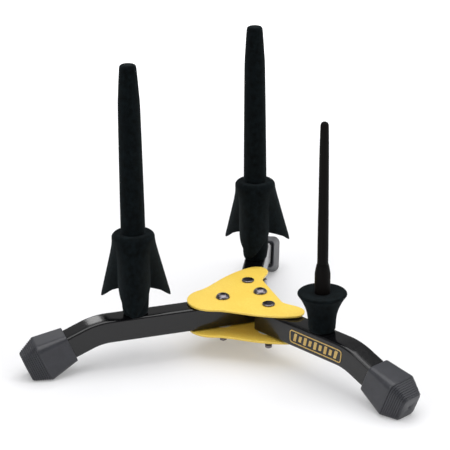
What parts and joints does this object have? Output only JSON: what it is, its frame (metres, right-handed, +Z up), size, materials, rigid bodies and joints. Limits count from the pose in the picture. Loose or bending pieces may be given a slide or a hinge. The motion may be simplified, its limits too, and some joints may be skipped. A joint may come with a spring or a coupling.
{
  "type": "woodwind instrument stand",
  "caption": "Folding bench stand for woodwind instruments: yellow hub plates, bent black tube legs with ribbed rubber feet, velvet-covered finned pegs and a slim rod peg.",
  "frame": {"origin": "on the floor under the middle of the opened stand's box", "axes": "+Z up, the fixed leg points along -X, the two folding legs spread to +X either side"},
  "size_m": [0.248, 0.3078, 0.2268],
  "materials": {
    "powder_yellow": "satin yellow powder coat",
    "paint_black": "gloss black paint",
    "rubber_grey": "matte moulded rubber",
    "velvet_black": "black velvet flock over moulded plastic",
    "rod_dark": "satin dark brown",
    "bolt_gunmetal": "dark plated steel",
    "nut_black": "black oxide",
    "nylon_white": "natural nylon",
    "steel_plain": "zinc plated",
    "badge_gold": "pale gold print"
  },
  "bodies": {
    "hub": {"upper_plate": "powder_yellow", "lower_plate": "powder_yellow", "outer_bolt": "bolt_gunmetal", "outer_nut": "nut_black", "outer_washer_upper": "nylon_white", "outer_washer_lower": "nylon_white", "centre_bolt": "bolt_gunmetal", "centre_nut": "nut_black", "centre_washer_upper": "nylon_white", "centre_washer_lower": "nylon_white", "rear_pivot_bolt": "bolt_gunmetal", "rear_pivot_nut": "nut_black", "rear_pivot_washer_upper": "nylon_white", "rear_pivot_washer_lower": "nylon_white", "right_pivot_bolt": "bolt_gunmetal", "right_pivot_nut": "nut_black", "right_pivot_washer_upper": "nylon_white", "right_pivot_washer_lower": "nylon_white", "outer_spacer": "steel_plain", "centre_spacer": "steel_plain", "rear_stop_pin": "steel_plain", "right_stop_pin": "steel_plain", "left_leg": "paint_black", "left_foot": "rubber_grey", "left_peg_stud": "steel_plain", "left_peg_insert": "steel_plain", "left_peg_base": "velvet_black", "left_peg_stick": "velvet_black"},
    "rear_arm": {"rear_leg": "paint_black", "rear_foot": "rubber_grey", "rear_peg_stud": "steel_plain", "rear_peg_insert": "steel_plain", "rear_peg_base": "velvet_black", "rear_peg_stick": "velvet_black", "rear_pivot_bush": "steel_plain"},
    "right_arm": {"right_leg": "paint_black", "right_foot": "rubber_grey", "right_peg_stud": "steel_plain", "right_peg_insert": "steel_plain", "right_peg_base": "velvet_black", "right_peg_rod": "rod_dark", "right_peg_ferrule": "rod_dark", "right_pivot_bush": "steel_plain", "right_leg_badge": "badge_gold"}
  },
  "joints": [
    {"name": "rear_leg_fold", "type": "hinge", "parent": "hub", "child": "rear_arm", "pos_m": [0.05734, 0.0235, 0.03102], "axis": [0, 0, 1], "range_deg": [0, 100]},
    {"name": "right_leg_fold", "type": "hinge", "parent": "hub", "child": "right_arm", "pos_m": [0.05734, -0.0235, 0.03102], "axis": [0, 0, 1], "range_deg": [-100, 0]}
  ]
}
